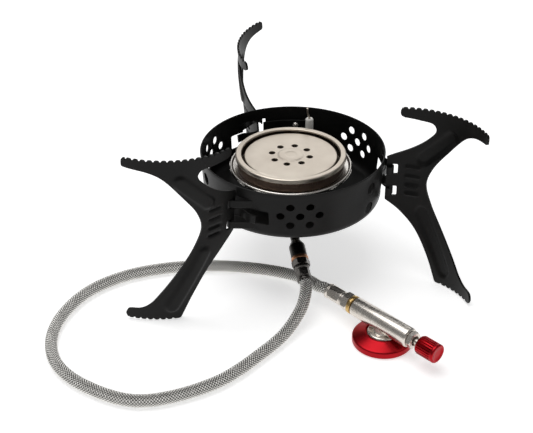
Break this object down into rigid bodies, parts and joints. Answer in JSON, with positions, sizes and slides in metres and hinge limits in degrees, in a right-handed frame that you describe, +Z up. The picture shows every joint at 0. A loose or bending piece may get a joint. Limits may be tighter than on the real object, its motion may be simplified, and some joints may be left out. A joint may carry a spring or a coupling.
{
  "type": "canister stove",
  "caption": "Folding camping stove burner in a pressed bowl on three toothed folding legs, fed by a braided hose from a screw-on gas canister valve.",
  "frame": {"origin": "on the ground, under the middle of the stove's box without its hose and valve", "axes": "+Z up; -Y is the side the gas feed leaves from and the valve lies on; +X to the right seen from there"},
  "size_m": [0.2873, 0.3059, 0.1284],
  "materials": {
    "bowl": "satin black heat-proof coating on pressed steel",
    "legs": "satin black heat-proof coating on pressed steel",
    "burner_steel": "satin stainless steel, slightly warm",
    "heated_steel": "stainless steel browned by heat",
    "jet_body": "black nickel plated brass",
    "nickel": "bright nickel plating",
    "brass": "plain turned brass",
    "copper": "copper washer, browned",
    "braid": "woven stainless steel wire",
    "red_anodised": "red anodised aluminium",
    "ceramic": "white glazed ceramic",
    "rubber": "black nitrile",
    "piezo": "black moulded plastic"
  },
  "bodies": {
    "stove": {"bowl": "bowl", "mixing_tube": "burner_steel", "lock_nut": "burner_steel", "burner_pan": "burner_steel", "diffuser": "burner_steel", "side_band": "heated_steel", "top_ring": "burner_steel", "burner_cap": "burner_steel", "jet_body": "jet_body", "jet": "brass", "igniter_bracket": "bowl", "igniter_rivet": "burner_steel", "igniter_ceramic": "ceramic", "igniter_wire": "burner_steel", "igniter_lead": "rubber", "piezo_housing": "piezo", "piezo_screw": "burner_steel", "feed_seal": "copper", "feed_nut": "nickel", "feed_sleeve": "nickel", "hose": "braid", "valve_sleeve": "nickel", "valve_nut": "nickel", "valve_seal": "brass", "valve_body": "nickel", "connector_disc": "red_anodised", "connector_seal": "rubber", "valve_pin": "brass", "gland_nut": "nickel", "spindle_seal": "rubber"},
    "leg_a": {"leg_a": "legs"},
    "leg_b": {"leg_b": "legs"},
    "leg_c": {"leg_c": "legs"},
    "valve_knob": {"spindle": "burner_steel", "knob": "red_anodised"},
    "igniter_button": {"piezo_button": "piezo"}
  },
  "joints": [
    {"name": "leg_a_fold", "type": "hinge", "parent": "stove", "child": "leg_a", "pos_m": [-0.04685, -0.07827, 0.072], "axis": [0, 0, 1], "range_deg": [-30, 0]},
    {"name": "leg_b_fold", "type": "hinge", "parent": "stove", "child": "leg_b", "pos_m": [0.05893, -0.03271, 0.072], "axis": [0, 0, 1], "range_deg": [-40, 0]},
    {"name": "leg_c_fold", "type": "hinge", "parent": "stove", "child": "leg_c", "pos_m": [-0.03342, 0.03613, 0.072], "axis": [0, 0, 1], "range_deg": [-90, 0]},
    {"name": "knob_turn", "type": "hinge", "parent": "stove", "child": "valve_knob", "pos_m": [0.07576, -0.14444, 0.015], "axis": [0.7021, -0.7121, 0], "range_deg": [0, 540]},
    {"name": "igniter_press", "type": "slide", "parent": "stove", "child": "igniter_button", "axis": [-0.5, -0.866, 0], "range_m": [0, 0.005], "stiffness_N_per_m": 600, "springref_m": -0.004}
  ]
}
